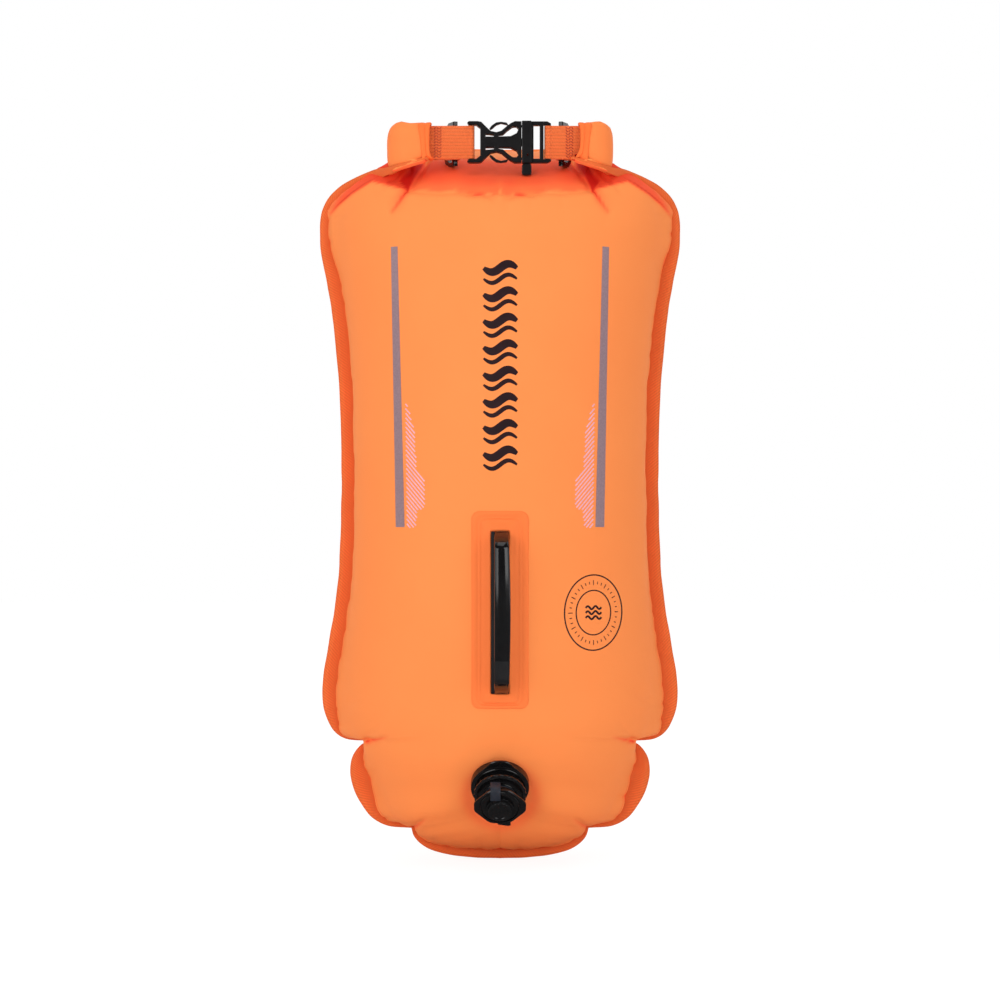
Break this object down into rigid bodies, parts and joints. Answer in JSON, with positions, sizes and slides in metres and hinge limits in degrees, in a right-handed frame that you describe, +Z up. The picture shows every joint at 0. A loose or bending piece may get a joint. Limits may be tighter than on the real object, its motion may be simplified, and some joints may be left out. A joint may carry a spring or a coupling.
{
  "type": "open water swim buoy",
  "caption": "Inflated roll-top dry bag buoy with a whistle buckle closing its rolled collar, tow rings, a front handle and an inflation valve.",
  "frame": {"origin": "middle of the bounding box in plan, at the lowest point of the bottom seam", "axes": "+Z up the bag to the rolled collar, -Y out of the face with the handle and the valve, +X to the side with the whistle"},
  "size_m": [0.2844, 0.2392, 0.5752],
  "materials": {
    "coated_fabric": "semi-matt coated nylon",
    "webbing": "ribbed weave",
    "buckle_plastic": "satin moulded",
    "ring_plastic": "satin moulded",
    "handle_plastic": "glossy",
    "valve_plastic": "satin moulded",
    "black_rubber": "matt",
    "reflective_film": "retroreflective film",
    "clear_plastic": "clear sheet"
  },
  "bodies": {
    "bag": {"front_panel": "coated_fabric", "back_panel": "coated_fabric", "rolled_collar": "coated_fabric", "mouth_stiffener": "clear_plastic", "webbing_right": "webbing", "buckle_male": "buckle_plastic", "whistle_mouthpiece": "buckle_plastic", "ring_keeper_left": "webbing", "ring_keeper_right": "webbing", "handle_patch": "coated_fabric", "handle_base_strip": "black_rubber", "handle_strap": "handle_plastic", "reflective_strip_left": "reflective_film", "reflective_strip_right": "reflective_film", "valve_base": "valve_plastic", "valve_backing_ring": "coated_fabric"},
    "buckle_socket": {"buckle_female": "buckle_plastic", "webbing_left": "webbing"},
    "latch_upper": {"buckle_arm_upper": "buckle_plastic"},
    "latch_lower": {"buckle_arm_lower": "buckle_plastic"},
    "tow_ring_left": {"ring_left": "ring_plastic"},
    "tow_ring_right": {"ring_right": "ring_plastic"},
    "inflation_valve": {"valve_body": "valve_plastic", "valve_gasket": "black_rubber", "cap_tether": "black_rubber"},
    "inflation_cap": {"valve_cap": "valve_plastic"},
    "check_flap": {"valve_flap": "black_rubber"}
  },
  "joints": [
    {"name": "buckle_release", "type": "slide", "parent": "bag", "child": "buckle_socket", "axis": [-1, 0, 0], "range_m": [0, 0.0257], "deforming": ["buckle_arm_upper", "buckle_arm_lower"]},
    {"name": "latch_squeeze_upper", "type": "hinge", "parent": "bag", "child": "latch_upper", "pos_m": [0.018, -0.04725, 0.5707], "axis": [0, -1, 0], "range_deg": [0, 9], "stiffness_Nm_per_rad": 0.05},
    {"name": "latch_squeeze_lower", "type": "hinge", "parent": "bag", "child": "latch_lower", "pos_m": [0.018, -0.04725, 0.5453], "axis": [0, 1, 0], "range_deg": [0, 9], "stiffness_Nm_per_rad": 0.05},
    {"name": "tow_ring_left_swing", "type": "hinge", "parent": "bag", "child": "tow_ring_left", "pos_m": [-0.035, -0.03785, 0.558], "axis": [0, 0, 1], "range_deg": [-80, 40]},
    {"name": "tow_ring_right_swing", "type": "hinge", "parent": "bag", "child": "tow_ring_right", "pos_m": [0.0475, -0.03785, 0.558], "axis": [0, 0, 1], "range_deg": [-40, 80]},
    {"name": "valve_unscrew", "type": "hinge", "parent": "bag", "child": "inflation_valve", "pos_m": [0, -0.07329, 0.0655], "axis": [0, -0.8192, -0.5736], "range_deg": [0, 360]},
    {"name": "cap_pull", "type": "slide", "parent": "inflation_valve", "child": "inflation_cap", "axis": [0, -0.8192, -0.5736], "range_m": [0, 0.012], "deforming": ["cap_tether"]},
    {"name": "flap_open", "type": "slide", "parent": "inflation_valve", "child": "check_flap", "axis": [0, 0.8192, 0.5736], "range_m": [0, 0.0012], "stiffness_N_per_m": 100}
  ],
  "couplings": [
    {"joint": "latch_squeeze_lower", "follows": "latch_squeeze_upper", "ratio": 1}
  ]
}
